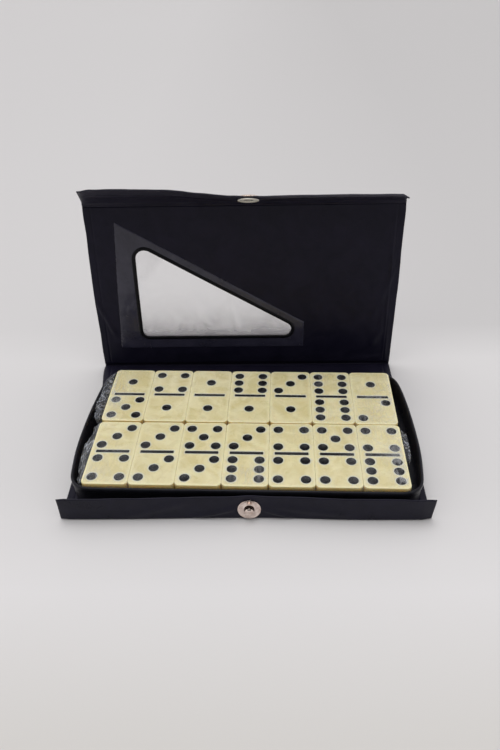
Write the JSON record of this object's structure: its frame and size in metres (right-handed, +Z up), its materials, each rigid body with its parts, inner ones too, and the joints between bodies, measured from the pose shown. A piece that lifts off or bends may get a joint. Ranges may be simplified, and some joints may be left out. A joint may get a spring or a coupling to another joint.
{
  "type": "domino storage box",
  "caption": "Folding vinyl case for a domino set: hinged lid with a glazed triangular window, closing lip with snap, front flap and a tray holding two film-wrapped packs of dominoes.",
  "frame": {"origin": "centre of the base's underside", "axes": "+X to the right along the folds, +Y to the back towards the spine and the lid, +Z up"},
  "size_m": [0.1906, 0.1452, 0.1218],
  "materials": {
    "black_vinyl": "satin",
    "lining_vinyl": "satin",
    "tray_plastic": "gloss",
    "board": "matte",
    "window_film": "gloss",
    "weld_bead": "gloss",
    "nickel": "polished",
    "spring_wire": "satin",
    "shrink_film": "gloss",
    "domino": "gloss"
  },
  "bodies": {
    "base": {"base_cover": "black_vinyl", "base_board": "board", "base_lining": "lining_vinyl", "tray": "tray_plastic"},
    "spine": {"spine_cover": "black_vinyl", "spine_board": "board", "spine_lining": "lining_vinyl"},
    "lid": {"lid_cover": "black_vinyl", "lid_board": "board", "lid_lining": "lining_vinyl", "window_film": "window_film", "window_bead": "weld_bead"},
    "lip": {"closing_lip": "black_vinyl", "lip_lining": "lining_vinyl", "snap_cap": "nickel", "snap_socket": "nickel", "socket_spring": "spring_wire"},
    "flap": {"front_flap": "black_vinyl", "flap_lining": "lining_vinyl", "snap_stud": "nickel", "stud_rivet": "nickel"},
    "front_pack": {"film_front": "shrink_film", "domino_0_0": "domino", "domino_0_1": "domino", "domino_0_2": "domino", "domino_0_3": "domino", "domino_0_4": "domino", "domino_0_5": "domino", "domino_0_6": "domino", "domino_3_4": "domino", "domino_3_3": "domino", "domino_3_5": "domino", "domino_3_6": "domino", "domino_4_4": "domino", "domino_4_5": "domino", "domino_4_6": "domino"},
    "back_pack": {"film_back": "shrink_film", "domino_2_2": "domino", "domino_2_3": "domino", "domino_2_4": "domino", "domino_2_5": "domino", "domino_2_6": "domino", "domino_5_5": "domino", "domino_5_6": "domino", "domino_1_5": "domino", "domino_1_4": "domino", "domino_1_1": "domino", "domino_1_6": "domino", "domino_1_3": "domino", "domino_6_6": "domino", "domino_1_2": "domino"}
  },
  "joints": [
    {"name": "spine_fold", "type": "hinge", "parent": "base", "child": "spine", "pos_m": [0, 0.055, 0.00025], "axis": [-1, 0, 0], "range_deg": [-90, 0]},
    {"name": "lid_fold", "type": "hinge", "parent": "spine", "child": "lid", "pos_m": [0, 0.077, 0.00025], "axis": [-1, 0, 0], "range_deg": [-5, 85]},
    {"name": "lip_fold", "type": "hinge", "parent": "lid", "child": "lip", "pos_m": [0, 0.0868, 0.11232], "axis": [-1, 0, 0], "range_deg": [-19, 64]},
    {"name": "flap_fold", "type": "hinge", "parent": "base", "child": "flap", "pos_m": [0, -0.055, 0.00025], "axis": [1, 0, 0], "range_deg": [0, 60]},
    {"name": "front_pack_lift", "type": "slide", "parent": "base", "child": "front_pack", "axis": [0, 0, 1], "range_m": [0, 0.04]},
    {"name": "back_pack_lift", "type": "slide", "parent": "base", "child": "back_pack", "axis": [0, 0, 1], "range_m": [0, 0.04]}
  ]
}
